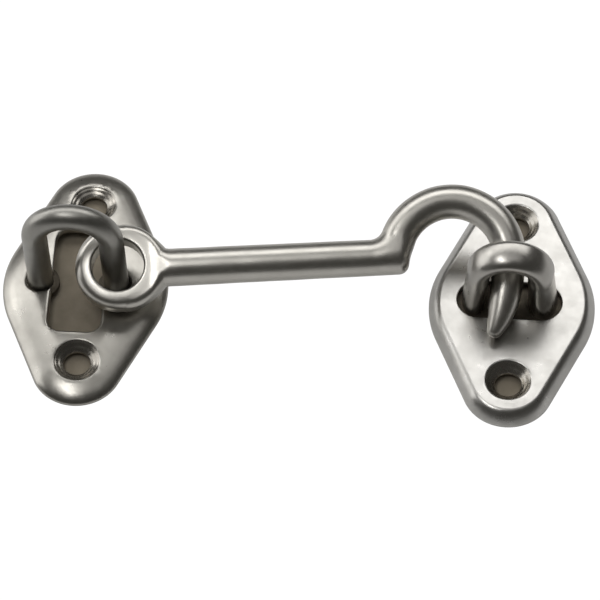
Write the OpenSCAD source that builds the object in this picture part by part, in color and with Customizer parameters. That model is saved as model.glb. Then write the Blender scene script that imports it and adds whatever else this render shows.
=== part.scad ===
// Shutter hook: a forged hook that hangs on a wire loop and drops into a staple.
// Two pressed plates of one outline lie on their backs, 99 mm apart.
// Origin: middle of the pivot plate's mounting face, +Z out of the wall,
// +X from the pivot plate to the keeper plate, +Y along the plates.

/* [Plates] */
// Width of a plate across its two broad corners
plate_w = 38.5; // [36:0.5:42]
// Distance between the two screw holes of a plate
screw_pitch = 43.5; // [42:0.5:52]
// Radius of the narrow ends, which run round the screw holes
plate_end_r = 10.6; // [9.5:0.1:12]
// Radius of the broad corners at the middle
plate_side_r = 23; // [19:0.5:26]
// Height of a plate's face above the wall
plate_h = 4; // [3.6:0.1:5.5]
// Thickness of the pressed sheet
sheet = 1.6; // [1.2:0.1:1.8]
// Height of the upright foot of the rim
rim_foot = 0.7; // [0.4:0.1:1]
// How far the rim leans in above its foot
rim_draft = 0.8; // [0.4:0.1:1.2]
// Radius of the pivot plate's soft shoulder
pivot_shoulder_r = 2.9; // [2.2:0.1:3]
// Radius of the keeper plate's crisper shoulder
keeper_shoulder_r = 1.8; // [1.7:0.1:2.4]

/* [Screw holes] */
// Diameter of the screw holes
screw_d = 6.2; // [5:0.1:6.8]
// Diameter of the countersinks at the face
sink_d = 10.8; // [9.5:0.1:12]
// Straight length of the hole below its countersink
screw_land = 1.2; // [0.8:0.1:1.3]

/* [Pivot loop] */
// Diameter of the loop's wire
wire_d = 6; // [5:0.1:7]
// Height of the loop above the wall
loop_h = 32.3; // [30:0.1:40]
// Free width in the loop beside the ring eye
loop_play = 4.45; // [3:0.05:7]
// How far the loop and its slot sit off the plate's middle, away from the rod
loop_offset = 1.5; // [0:0.1:1.5]
// Gap round a leg in its hole in the plate
leg_gap = 0.3; // [0.2:0.05:0.5]
// Width of the slot that the ring eye dips into
slot_w = 12.2; // [11:0.1:13]
// Length of the slot beyond the ring eye, at each end
slot_spare = 3.8; // [2:0.1:3.8]
// Corner radius of the slot
slot_r = 3; // [1.5:0.1:4]

/* [Hook] */
// Diameter of the rod
rod_d = 8.5; // [7.9:0.1:8.6]
// Diameter of the bar that the hook's arc is bent from
bar_d = 7.7; // [7:0.1:7.7]
// Length from the middle of the eye to the shoulder at the rod's end
rod_l = 67; // [60:0.1:120]
// Rounding of the shoulder at the rod's end
rod_end_r = 2.4; // [1:0.1:3]
// Radius of the arc, along the middle of its bar
arc_r = 13.6; // [12.5:0.1:15]
// How far the middle of the arc lies below the rod's middle
arc_drop = 0.8; // [0:0.1:1]
// Length over which the bar rises out of the rod, from the arc's middle
bend_back = 19.5; // [18.5:0.1:24]
// Angle by which the tip turns back towards the rod
tip_angle = 8; // [4:0.5:10]
// Further turn of the tip's end half
tip_curl = 13; // [4:0.5:14]
// Length of each half of the tip, without the round end
tip_half = 8; // [6:0.1:9]
// Diameter of the tip at its curl
tip_mid_d = 7.2; // [6.8:0.1:7.5]
// Diameter at the end of the tip
tip_d = 4.6; // [4:0.1:6]

/* [Ring eye] */
// Diameter of the hole in the eye
eye_d = 12.4; // [12.1:0.1:14]
// Width of the eye's band, from hole to outside
eye_band = 4; // [3.8:0.1:5]
// Thickness of the eye along its hole
eye_t = 7.4; // [6.5:0.1:7.8]
// Rounding of the eye's edges
eye_edge_r = 1.2; // [1:0.1:1.85]
// Length from the middle of the eye to the end of its flared neck
neck_l = 11.9; // [11.2:0.1:15]

/* [Keeper staple] */
// Thickness of the staple's bar, across its opening
staple_t = 5.8; // [5.3:0.1:6.2]
// Depth of the staple's bar, along the plate
staple_deep = 7.8; // [6.5:0.1:8.4]
// Rounding of the staple's edges
staple_edge_r = 2.6; // [1:0.1:2.6]
// Angle by which each leg spreads towards the plate
staple_flare = 5; // [1:0.1:6]
// Room beside the hook's bar in the staple, on each side
staple_play = 0.8; // [0.7:0.05:1.6]
// Room between the hook's bar and the top of the opening
staple_headroom = 4.2; // [3:0.1:6]
// How far the staple's middle lies beyond the hook's bar
staple_lead = 0.2; // [0.1:0.05:0.6]
// How far the keeper plate's middle lies beyond the staple's
keeper_lead = 0.6; // [0:0.05:0.8]
// Gap round the staple's legs in the plate's slot
staple_gap = 1.1; // [0.8:0.1:1.5]
// Width by which the staple's foot reaches past the slot
foot_lap = 1.5; // [1:0.1:2]

/* [Pose of the hook] */
// Roll of the hook about its rod, tip down
hook_roll = 21.6; // [16:0.1:24]
// Swing of the rod towards +Y, as it lies in the staple
hook_swing = 5.4; // [3:0.05:6]
// Room kept between the leg and the wall of the eye's hole, measured along X and along Y
eye_play = 0.4; // [0.3:0.05:0.9]
// Direction in which the eye is drawn off the leg, from +X towards -Y
eye_pull = 69; // [0:1:90]
// Clearance under the eye and the tip
rest_gap = 0.3; // [0.2:0.05:0.5]

/* [Hidden] */
$fn = 72;
eps = 0.01;

// Plate outline: end arcs about the screw holes, broad corner arcs about points past the middle
end_y = screw_pitch / 2;
side_x = plate_w / 2 - plate_side_r;
side_dir = atan2(end_y, -side_x);
side_turn = side_dir - acos((plate_side_r - plate_end_r) / norm([side_x, end_y]));

// Screw holes
sink_depth = (sink_d - screw_d) / 2;
land_z = plate_h - sink_depth - screw_land;

// Wire loop
wire_r = wire_d / 2;
eye_out_r = eye_d / 2 + eye_band;
loop_w = eye_out_r + loop_play + wire_r;
loop_x = -loop_offset;
loop_arch_z = loop_h - wire_r - loop_w / 2;
leg_x = loop_x + loop_w / 2;
leg_hole_r = wire_r + leg_gap;
leg_head_r = leg_hole_r + 1.1;
leg_head_h = 1.7;
slot_l = 2 * (eye_out_r + slot_spare);

// Hook, in its own plane: +X along the rod, +Y towards the top of the arc
neck_inset = 0.3;
bar_step = 0.12;
rod_r = rod_d / 2;
bar_r = bar_d / 2;
eye_mid_r = eye_d / 2 + eye_band / 2;
arc_x = rod_l + arc_r - bar_r;
bend_r = (bend_back ^ 2 + arc_drop ^ 2 - arc_r ^ 2) / (2 * (arc_r - arc_drop));
bend_turn = asin(bend_back / (arc_r + bend_r));
tip_x = arc_x + arc_r * cos(tip_angle);
tip_y = -arc_drop - arc_r * sin(tip_angle);
tip_turn = tip_angle + tip_curl;
tip_mid_r = tip_mid_d / 2;
tip_mid_x = tip_x - tip_half * sin(tip_angle);
tip_mid_y = tip_y - tip_half * cos(tip_angle);
tip_end_x = tip_mid_x - tip_half * sin(tip_turn);
tip_end_y = tip_mid_y - tip_half * cos(tip_turn);

// Pose of the hook: the eye's low side and the tip both clear the plates by rest_gap
eye_low = eye_mid_r * sin(hook_roll) + (eye_band / 2 - eye_edge_r) * sin(hook_roll)
    + (eye_t / 2 - eye_edge_r) * cos(hook_roll) + eye_edge_r;
hook_z = plate_h + rest_gap + eye_low;
hook_rise = asin((plate_h + rest_gap + tip_d / 2 - hook_z - tip_end_y * sin(hook_roll)) / tip_end_x);
// An upright leg has less room along Y, where the hole leans over it, than along X
eye_room_x = eye_d / 2 - wire_r - eye_play;
eye_room_y = (eye_d / 2 + eye_edge_r) * cos(hook_roll) - (eye_t / 2 - eye_edge_r) * sin(hook_roll)
    - eye_edge_r - wire_r - eye_play;
hook_x = leg_x + eye_room_x * cos(eye_pull);
hook_y = -eye_room_y * sin(eye_pull);

// Keeper: the staple stands round the bar where it crosses the plates' middle line
cross_y = -(hook_y + (arc_x + arc_r) * sin(hook_swing)) / cos(hook_roll);
cross_x = hook_x + (arc_x + arc_r + min(0, cross_y + arc_drop) * tan(tip_angle) / 2) * cos(hook_swing)
    - cross_y * cos(hook_roll) * sin(hook_swing);
cross_z = hook_z + (arc_x + arc_r) * sin(hook_rise) + cross_y * sin(hook_roll);
keeper_x = cross_x + staple_lead + keeper_lead;
staple_x = -keeper_lead;
staple_mid = bar_r + staple_play + staple_t / 2;
staple_top_z = cross_z + bar_r + staple_headroom;
// The arch is as wide as lets the spread legs clear the bar by staple_play at the bar's height
staple_arch_r = (staple_mid - (staple_top_z + staple_t / 2 - cross_z) * tan(staple_flare))
    / (cos(staple_flare) - tan(staple_flare) * (1 + sin(staple_flare)));
staple_arch_z = staple_top_z + staple_t / 2 - staple_arch_r;
staple_leg_l = (staple_arch_z - staple_arch_r * sin(staple_flare) - plate_h + sheet + 1) / cos(staple_flare);
staple_foot_x = staple_mid + (cross_z - plate_h) * tan(staple_flare);
keeper_slot_l = 2 * (staple_foot_x + staple_t / 2 + staple_gap);
keeper_slot_w = staple_deep + 2 * staple_gap;
foot_h = 1.5;

// Half section of a rim whose outer foot stands at x = 0
module rim_profile(height, shoulder) {
    in = rim_draft + shoulder;
    polygon([
        [-in - 1, 0], [0, 0], [0, rim_foot], [-rim_draft, height - shoulder],
        [-in, height - shoulder], [-in, height], [-in - 1, height]
    ]);
    intersection() {
        translate([-in, height - shoulder]) circle(shoulder, $fn = 36);
        translate([-in, height - shoulder]) square(shoulder);
    }
}

// Rim arc of radius r about the origin, from angle a over a turn
module rim_arc(r, a, turn, height, shoulder) {
    rotate([0, 0, a])
        rotate_extrude(angle = turn)
            translate([r, 0]) rim_profile(height, shoulder);
}

// Solid cushion with the plate's outline, its shoulder rounded all round:
// two end arcs and two broad corner arcs, and the straight edges that touch them
module plate_cushion(inset, height, shoulder) {
    hull() {
        for (s = [0, 180]) {
            rotate([0, 0, s]) {
                translate([0, end_y, 0])
                    rim_arc(plate_end_r - inset, side_turn, 180 - 2 * side_turn, height, shoulder);
                translate([side_x, 0, 0])
                    rim_arc(plate_side_r - inset, -side_turn, 2 * side_turn, height, shoulder);
            }
        }
    }
}

// Pressed sheet with a dished-in countersunk seat at each screw hole
module pressed_plate(shoulder) {
    difference() {
        union() {
            difference() {
                plate_cushion(0, plate_h, shoulder);
                translate([0, 0, -eps])
                    plate_cushion(sheet, plate_h - sheet + eps, max(shoulder - sheet, 0.1));
            }
            for (s = [-1, 1])
                translate([0, s * end_y, land_z])
                    cylinder(r1 = screw_d / 2 + 1.4, r2 = sink_d / 2 + 1.4, h = plate_h - sheet / 2 - land_z);
        }
        for (s = [-1, 1])
            translate([0, s * end_y, 0]) {
                translate([0, 0, -1])
                    cylinder(d = screw_d, h = plate_h + 2);
                translate([0, 0, plate_h - sink_depth])
                    cylinder(d1 = screw_d, d2 = sink_d, h = sink_depth);
                translate([0, 0, plate_h - eps])
                    cylinder(d = sink_d, h = 1);
            }
        children();
    }
}

// Slot with rounded corners or, where r is half its width, with round ends
module rounded_slot(length_x, length_y, r) {
    square([length_x - 2 * r, length_y], center = true);
    square([length_x, length_y - 2 * r], center = true);
    for (x = [-1, 1], y = [-1, 1])
        translate([x * (length_x / 2 - r), y * (length_y / 2 - r)])
            circle(r);
}

module pivot_plate() {
    color("silver")
        pressed_plate(pivot_shoulder_r) {
            translate([loop_x, 0, -1])
                linear_extrude(plate_h + 2)
                    rounded_slot(slot_w, slot_l, slot_r);
            for (s = [-1, 1])
                translate([loop_x + s * loop_w / 2, 0, -1])
                    cylinder(r = leg_hole_r, h = plate_h + 2);
        }
}

// Wire bent to a U, with a head on each leg that bears on the sheet from behind
module pivot_loop() {
    color("gray")
        translate([loop_x, 0, 0]) {
            translate([0, 0, loop_arch_z])
                rotate([90, 0, 0])
                    rotate_extrude(angle = 180)
                        translate([loop_w / 2, 0]) circle(wire_r);
            for (s = [-1, 1])
                translate([s * loop_w / 2, 0, 0]) {
                    translate([0, 0, plate_h - sheet - leg_head_h])
                        cylinder(r = wire_r, h = loop_arch_z - plate_h + sheet + leg_head_h);
                    translate([0, 0, plate_h - sheet - leg_head_h])
                        cylinder(r = leg_head_r, h = leg_head_h);
                }
        }
}

// Section of the eye's band about x = 0
module band_section() {
    rounded_slot(eye_band, eye_t, eye_edge_r);
}

// Bar bent about the origin, from angle a over a turn
module bent_bar(radius, r, a, turn) {
    rotate([0, 0, a])
        rotate_extrude(angle = turn, $fn = 96)
            translate([radius, 0]) circle(r);
}

module ring_eye() {
    rotate_extrude($fn = 96)
        translate([eye_mid_r, 0]) band_section();
}

// Flare from inside the eye's band into the rod, cut clear of the eye's hole
module eye_neck() {
    difference() {
        hull() {
            for (s = [-1, 1])
                rotate([0, 0, s * 50])
                    translate([eye_mid_r, 0, 0])
                        rotate_extrude($fn = 24)
                            intersection() {
                                rounded_slot(eye_band - 2 * neck_inset, eye_t - 2 * neck_inset,
                                    eye_edge_r - neck_inset, $fn = 16);
                                translate([0, -eye_t]) square([eye_t, 2 * eye_t]);
                            }
            translate([neck_l, 0, 0])
                rotate([0, 90, 0]) cylinder(r = rod_r, h = eps, $fn = 32);
        }
        rotate_extrude($fn = 96)
            difference() {
                translate([0, -eye_t]) square([eye_mid_r, 2 * eye_t]);
                translate([eye_mid_r, 0]) band_section();
            }
    }
}

// Round rod that ends in a rounded shoulder
module rod() {
    start = neck_l - 1;
    translate([start, 0, 0])
        rotate([0, 90, 0])
            rotate_extrude() {
                square([rod_r, rod_l - start - rod_end_r]);
                square([rod_r - rod_end_r, rod_l - start]);
                translate([rod_r - rod_end_r, rod_l - start - rod_end_r])
                    intersection() {
                        circle(rod_end_r);
                        square(rod_end_r);
                    }
            }
}

// Cone of the tip about its own axis, from radius r1 to a round end of radius r2
module tip_cone(r1, r2, length) {
    rotate_extrude() {
        polygon([[0, -0.5], [r1, -0.5], [r1, 0], [r2, length], [0, length]]);
        translate([0, length])
            intersection() {
                circle(r2);
                square(r2);
            }
    }
}

// Tip in two halves, the end half turned further back and thinned to a round end
module tip() {
    translate([tip_x, tip_y, 0])
        rotate([90, 0, -tip_angle])
            tip_cone(bar_r - bar_step, tip_mid_r, tip_half);
    translate([tip_mid_x, tip_mid_y, 0])
        rotate([90, 0, -tip_turn])
            tip_cone(tip_mid_r - bar_step, tip_d / 2, tip_half);
}

module hook_shape() {
    ring_eye();
    eye_neck();
    rod();
    translate([arc_x - bend_back, bend_r, 0])
        bent_bar(bend_r, (rod_r + bar_r) / 2, -90, bend_turn);
    translate([arc_x, -arc_drop, 0])
        bent_bar(arc_r, bar_r, -tip_angle, 180 + tip_angle);
    tip();
}

module hook() {
    color("lightgray")
        translate([hook_x, hook_y, hook_z])
            rotate([0, 0, hook_swing])
                rotate([0, -hook_rise, 0])
                    rotate([hook_roll, 0, 0])
                        hook_shape();
}

module keeper_plate() {
    color("silver")
        translate([keeper_x, 0, 0])
            pressed_plate(keeper_shoulder_r)
                translate([staple_x, 0, -1])
                    linear_extrude(plate_h + 2)
                        rounded_slot(keeper_slot_l, keeper_slot_w, keeper_slot_w / 2 - eps);
}

// Section of the staple's bar: staple_t across the opening, staple_deep along the plate
module staple_section() {
    rounded_slot(staple_t, staple_deep, staple_edge_r);
}

// Staple with spread legs on a foot that bears on the sheet from behind
module keeper_staple() {
    color("gray")
        translate([keeper_x + staple_x, 0, 0]) {
            translate([0, 0, staple_arch_z])
                rotate([90, 0, 0]) {
                    rotate([0, 0, -staple_flare])
                        rotate_extrude(angle = 180 + 2 * staple_flare)
                            translate([staple_arch_r, 0]) staple_section();
                }
            for (s = [-1, 1])
                translate([s * staple_arch_r * cos(staple_flare), 0, staple_arch_z - staple_arch_r * sin(staple_flare)])
                    rotate([180, -s * staple_flare, 0])
                        linear_extrude(staple_leg_l)
                            staple_section();
            translate([0, 0, plate_h - sheet - foot_h])
                linear_extrude(foot_h)
                    rounded_slot(keeper_slot_l + 2 * foot_lap, keeper_slot_w + 2 * foot_lap,
                        keeper_slot_w / 2 + foot_lap - eps);
        }
}

pivot_plate();
pivot_loop();
hook();
keeper_plate();
keeper_staple();
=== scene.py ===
import logging
import math
from dataclasses import dataclass, field
from enum import Enum
from typing import Any, Callable

import bmesh
import bpy
import numpy as np
from mathutils import Matrix, Vector
from mathutils.geometry import delaunay_2d_cdt


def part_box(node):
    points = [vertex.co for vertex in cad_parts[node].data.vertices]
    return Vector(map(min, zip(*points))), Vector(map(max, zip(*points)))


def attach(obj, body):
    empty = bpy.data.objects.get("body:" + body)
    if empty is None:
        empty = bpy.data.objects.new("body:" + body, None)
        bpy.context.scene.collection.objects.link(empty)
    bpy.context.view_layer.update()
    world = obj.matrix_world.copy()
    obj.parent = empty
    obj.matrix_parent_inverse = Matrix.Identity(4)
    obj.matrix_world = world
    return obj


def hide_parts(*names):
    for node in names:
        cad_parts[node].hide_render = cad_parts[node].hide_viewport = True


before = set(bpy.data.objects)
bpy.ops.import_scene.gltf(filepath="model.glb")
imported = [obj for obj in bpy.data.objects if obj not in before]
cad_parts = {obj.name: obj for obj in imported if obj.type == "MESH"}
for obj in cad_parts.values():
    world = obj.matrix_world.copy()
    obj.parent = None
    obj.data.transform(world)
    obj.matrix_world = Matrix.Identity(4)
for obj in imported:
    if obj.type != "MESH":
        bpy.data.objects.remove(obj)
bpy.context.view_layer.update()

MM = 0.001  # metres in a millimetre
WELD = 1e-6  # points closer than this become one, m
TINY = 1e-12  # keeps a divisor from being zero
PARTS = 12  # long tables are worked out in this many parts, to save memory
LOG = logging.getLogger("shutter_hook")
Array = np.ndarray
Field = Callable[[Array], Array]


class Body(Enum):
    """Bodies of the frame that the pieces ride on."""

    PLATES = "plates"
    HOOK = "hook"


class Face(Enum):
    """Finish of a patch of skin: the tumbled one, or that of the piece's cut faces, or the dark
    painted shade of its hidden ones.
    """

    SATIN = 0
    OTHER = 1


# ---- Numbers and points ----


def turn(axis: int, degrees: float) -> Array:
    """Rotation about one of the three axes: cosine and sine of the angle in the other two.

    Args:
        axis: 0, 1 or 2 for X, Y or Z.
        degrees: angle, right-handed.

    Returns:
        A 3 x 3 array that turns column vectors.
    """
    c, s = math.cos(math.radians(degrees)), math.sin(math.radians(degrees))
    i, j = (axis + 1) % 3, (axis + 2) % 3
    m = np.eye(3)
    m[i, i], m[i, j], m[j, i], m[j, j] = c, -s, s, c
    return m


def circle(count: int) -> Array:
    """Unit circle: cosine and sine of an even run of angles, count x 2, counter-clockwise."""
    angle = np.linspace(0, 2 * math.pi, count, endpoint=False)
    return np.stack([np.cos(angle), np.sin(angle)], 1)


def fan(start: float, end: float, count: int) -> Array:
    """Unit ways in the XZ plane: cosine and sine of an even run of angles in degrees, count x 3."""
    a = np.radians(np.linspace(start, end, count))
    return np.stack([np.cos(a), np.zeros_like(a), np.sin(a)], 1)


def held(ways: Array, legs: int) -> Array:
    """Ways of an arch, with the first and the last one held for that many stations of its legs."""
    return np.concatenate([ways[:1].repeat(legs, 0), ways, ways[-1:].repeat(legs, 0)])


def arc(centre: tuple[float, float], radius: float, start: float, end: float, count: int) -> Array:
    """Arc, count x 2: centre plus radius times cosine and sine of an even run of angles."""
    a = np.radians(np.linspace(start, end, count))
    return np.stack([centre[0] + radius * np.cos(a), centre[1] + radius * np.sin(a)], 1)


def between(start: tuple[float, float], end: tuple[float, float], count: int) -> Array:
    """Even points between two others, ends left out: start plus a share of the way to the end."""
    a, b = np.array(start, float), np.array(end, float)
    return a + (b - a) * (np.arange(1, count) / count)[:, None]


def cubic(points: Array, t: Array) -> Array:
    """Place on a cubic curve: its four points weighted by the powers of t and 1 - t."""
    t = t[..., None]
    return ((1 - t) ** 3 * points[0] + 3 * t * (1 - t) ** 2 * points[1]
            + 3 * t**2 * (1 - t) * points[2] + t**3 * points[3])


def cubic_rate(points: Array, t: Array) -> Array:
    """Rate of that place with t: three times its steps, weighted by the powers of t and 1 - t."""
    t, step = t[..., None], np.diff(points, axis=0)
    return 3 * ((1 - t) ** 2 * step[0] + 2 * t * (1 - t) * step[1] + t**2 * step[2])


def roll_off(start: float, radius: float, degrees: float, count: int) -> tuple[Array, Array]:
    """Rounded edge: growth is start less radius times sine, depth radius times 1 - cosine."""
    bend = np.radians(np.linspace(0, degrees, count))
    return start - radius * np.sin(bend), radius * (1 - np.cos(bend))


def lift(flat: Array, height: Array | float) -> Array:
    """Flat places, n x 2, with one height, or one for each, added as the third number."""
    return np.column_stack([flat, np.broadcast_to(height, len(flat))])


def smooth(value: Array) -> Array:
    """Soft step: three times the square less twice the cube of the value, held to 0 and 1."""
    t = np.clip(value, 0, 1)
    return t * t * (3 - 2 * t)


def inside(points: Array, loop: Array) -> Array:
    """Whether points lie in a closed loop: an odd number of its edges passes to their right.

    Args:
        points: places, n x 2.
        loop: corners of the loop, k x 2.

    Returns:
        Booleans, n.
    """
    a, b = loop, np.roll(loop, -1, 0)
    x, y = points[:, 0, None], points[:, 1, None]
    spans = (a[:, 1] > y) != (b[:, 1] > y)
    rise = np.where(np.abs(b[:, 1] - a[:, 1]) < TINY, TINY, b[:, 1] - a[:, 1])
    cross = a[:, 0] + (y - a[:, 1]) / rise * (b[:, 0] - a[:, 0])
    return (spans & (x < cross)).sum(1) % 2 == 1


@dataclass(frozen=True)
class Unevenness:
    """Slight waves of worked metal: sines along random directions, averaged."""

    crest_mm: float  # typical distance from crest to crest
    most_mm: float  # most that it takes off
    seed: int
    sines: int = 7
    spread: tuple[float, float] = (0.6, 1.4)  # range of the sines' own rates about the typical one

    def depth(self, points: Array) -> Array:
        """Depth below the true surface: the mean of the sines, brought to between 0 and the most.

        Args:
            points: places, n x 2 or n x 3 in any leading shape, mm.

        Returns:
            Depth at each place, mm.
        """
        rng = np.random.default_rng(self.seed)
        way = rng.normal(size=(self.sines, points.shape[-1]))
        rate = (2 * math.pi / self.crest_mm) * rng.uniform(*self.spread, (self.sines, 1))
        way *= rate / np.linalg.norm(way, axis=1)[:, None]
        phase = rng.uniform(0, 2 * math.pi, self.sines)
        return self.most_mm * (0.5 + 0.5 * np.sin(points @ way.T + phase).mean(-1))

    def worn(self, grid: Array, path: Array) -> Array:
        """Grid with the depth taken off: each point moves that far towards its station.

        Args:
            grid: stations x around x 3, mm.
            path: stations, n x 3, mm.

        Returns:
            The grid, worn.
        """
        away = grid - path[:, None]
        reach = np.maximum(np.linalg.norm(away, axis=2, keepdims=True), TINY)
        return grid - self.depth(grid)[..., None] * away / reach


# ---- Skins ----

ROW_STEP = 0.866  # distance between the rows of an even triangular net, over its spacing
CLEARANCE = 0.75  # least distance from a net's points to its loops, over its spacing
SNAP = 1e-7  # points of a net closer than this are one, mm
SLIVER = 1e-5  # triangles of a net under half this area are left out, mm2


def lattice(rows: int, columns: int) -> Array:
    """Two triangles for each cell of a grid whose last column joins the first.

    Args:
        rows: number of rows.
        columns: number of points in a row.

    Returns:
        Point numbers, n x 3, the grid being numbered row by row.
    """
    i, j = np.arange(rows - 1)[:, None], np.arange(columns)[None, :]
    a, b = i * columns + j, i * columns + (j + 1) % columns
    c, d = a + columns, b + columns
    cells = [np.stack([a, b, d], -1).reshape(-1, 3), np.stack([a, d, c], -1).reshape(-1, 3)]
    return np.concatenate(cells)


def web(outer: Array, holes: list[Array], spacing: float) -> tuple[Array, Array]:
    """Flat net between an outer loop and its holes.

    Rows of evenly spaced points fill the space, each second row half a step over, and the
    triangles are those whose circles hold no other point.

    Args:
        outer: outer loop, k x 2.
        holes: inner loops, each k x 2.
        spacing: distance between points of the net, mm.

    Returns:
        All points, n x 2, the loops first, and point numbers of the triangles, m x 3.
    """
    low, high = outer.min(0), outer.max(0)
    x, y = np.meshgrid(np.arange(low[0], high[0], spacing),
                       np.arange(low[1], high[1], spacing * ROW_STEP))
    x[1::2] += spacing / 2
    net = np.stack([x.ravel(), y.ravel()], 1)
    loops = [outer, *holes]
    near = np.min([np.linalg.norm(net[:, None] - loop, axis=2).min(1) for loop in loops], axis=0)
    keep = inside(net, outer) & (near > spacing * CLEARANCE)
    for hole in holes:
        keep &= ~inside(net, hole)
    points = np.concatenate([*loops, net[keep]])
    starts = np.cumsum([0, *[len(loop) for loop in loops]])
    edges = np.concatenate([
        np.stack([s + np.arange(len(loop)), s + (np.arange(len(loop)) + 1) % len(loop)], 1)
        for s, loop in zip(starts, loops)])
    made = delaunay_2d_cdt([Vector(p) for p in points.tolist()], edges.tolist(), [], 0, SNAP)
    origin = np.array([o[0] for o in made[3]])
    triangles = origin[np.array(made[2])]
    middle = points[triangles].mean(1)
    one, two = (points[triangles[:, k]] - points[triangles[:, 0]] for k in (1, 2))
    good = inside(middle, outer)
    good &= np.abs(one[:, 0] * two[:, 1] - one[:, 1] * two[:, 0]) > SLIVER
    for hole in holes:
        good &= ~inside(middle, hole)
    return points, triangles[good]


def carry(section: Array, path: Array, side: Array) -> Array:
    """Profile along a path: station plus profile x times the side way plus profile y in Y."""
    up = np.array([0.0, 1.0, 0.0])
    return path[:, None] + section[..., :1] * side[:, None] + section[..., 1:] * up


@dataclass
class Skin:
    """Patches of one piece, in mm, welded to a closed mesh at the end."""

    x: float = 0.0  # where the patches' own frame lies along X
    points: list[Array] = field(default_factory=list)
    triangles: list[Array] = field(default_factory=list)
    faces: list[Array] = field(default_factory=list)
    count: int = 0

    def add(self, points: Array, triangles: Array, face: Face = Face.SATIN) -> None:
        """Adds a patch.

        Args:
            points: places, n x 3, mm.
            triangles: point numbers, m x 3.
            face: finish of the patch.
        """
        self.points.append(points + np.array([self.x, 0.0, 0.0]))
        self.triangles.append(triangles + self.count)
        self.faces.append(np.full(len(triangles), face.value))
        self.count += len(points)

    def add_grid(self, grid: Array, face: Face = Face.SATIN) -> None:
        """Adds rows of points, rows x columns x 3 in mm, that each close to a ring."""
        self.add(grid.reshape(-1, 3), lattice(*grid.shape[:2]), face)

    def add_net(self, outer: Array, holes: list[Array], spacing: float, height: Field | float,
                face: Face = Face.SATIN) -> None:
        """Adds a net between loops, lifted to its height.

        Args:
            outer: outer loop, k x 2, mm.
            holes: inner loops, each k x 2, mm.
            spacing: distance between points of the net, mm.
            height: one height, or a function that gives it for each place, mm.
            face: finish of the patch.
        """
        flat, triangles = web(outer, holes, spacing)
        self.add(lift(flat, height(flat) if callable(height) else height), triangles, face)

    def make(self, name: str, node: str, body: Body,
             finishes: list[bpy.types.Material]) -> bpy.types.Object:
        """Welds the patches to a piece that rides on its body in place of its CAD node.

        The faces are turned outwards, and no point passes the CAD node's box.

        Args:
            name: name of the piece.
            node: CAD node that it stands for; the record's material slot has the same name.
            body: body that it rides on.
            finishes: materials, in the order of Face.

        Returns:
            The finished object.
        """
        low, high = (np.array(corner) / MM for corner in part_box(node))
        points = np.clip(np.concatenate(self.points), low, high) * MM
        mesh = bpy.data.meshes.new(name)
        mesh.from_pydata(points, [], np.concatenate(self.triangles))
        for finish in finishes:
            mesh.materials.append(finish)
        slots = np.concatenate(self.faces).astype(np.int32)
        mesh.polygons.foreach_set("material_index", slots)
        shell = bmesh.new()
        shell.from_mesh(mesh)
        bmesh.ops.remove_doubles(shell, verts=shell.verts, dist=WELD)
        bmesh.ops.recalc_face_normals(shell, faces=shell.faces)
        open_edges = sum(not e.is_manifold for e in shell.edges)
        shell.to_mesh(mesh)
        shell.free()
        mesh.polygons.foreach_set("use_smooth", np.ones(len(mesh.polygons), bool))
        piece = bpy.data.objects.new(name, mesh)
        piece.modifiers.new("even_shading", "WEIGHTED_NORMAL").mode = "FACE_AREA"
        bpy.context.scene.collection.objects.link(piece)
        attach(piece, body.value)
        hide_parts(node)
        LOG.info("%s: %d triangles, %d open edges, rides on %s",
                 name, len(mesh.polygons), open_edges, body.value)
        return piece


# ---- Finishes ----

WHITE = "FFFFFF"
MIX_A, MIX_B, MIX_OUT = 6, 7, 2  # colour sockets of a Mix node, whose names its other kinds share
NOISE_LOW, NOISE_HIGH = 0.3, 0.7  # most values of a noise pattern lie between these


def linear(code: str) -> tuple[float, float, float, float]:
    """Colour for a shader from its sRGB hex code: each channel through the sRGB curve.

    Args:
        code: six hex digits.

    Returns:
        Linear red, green, blue and 1.
    """
    c = np.array([int(code[i : i + 2], 16) for i in (0, 2, 4)]) / 255
    c = np.where(c <= 0.04045, c / 12.92, ((c + 0.055) / 1.055) ** 2.4)
    return (*c.tolist(), 1.0)


def blank(name: str) -> tuple[bpy.types.Material, bpy.types.NodeTree]:
    """New material with an empty node tree.

    Args:
        name: name of the material.

    Returns:
        The material and its node tree.
    """
    material = bpy.data.materials.new(name)
    material.use_nodes = True
    material.node_tree.nodes.clear()
    return material, material.node_tree


def add(tree: bpy.types.NodeTree, kind: str, sockets: dict[Any, Any] | None = None,
        **settings: Any) -> bpy.types.Node:
    """Adds a node with its settings, socket values and links.

    Args:
        tree: node tree.
        kind: node type.
        sockets: input name or number to a value, or to the output socket that feeds it.
        settings: node properties.

    Returns:
        The new node.
    """
    node = tree.nodes.new(kind)
    for key, value in settings.items():
        setattr(node, key, value)
    for key, value in (sockets or {}).items():
        if isinstance(value, bpy.types.NodeSocket):
            tree.links.new(value, node.inputs[key])
        else:
            node.inputs[key].default_value = value
    return node


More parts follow.
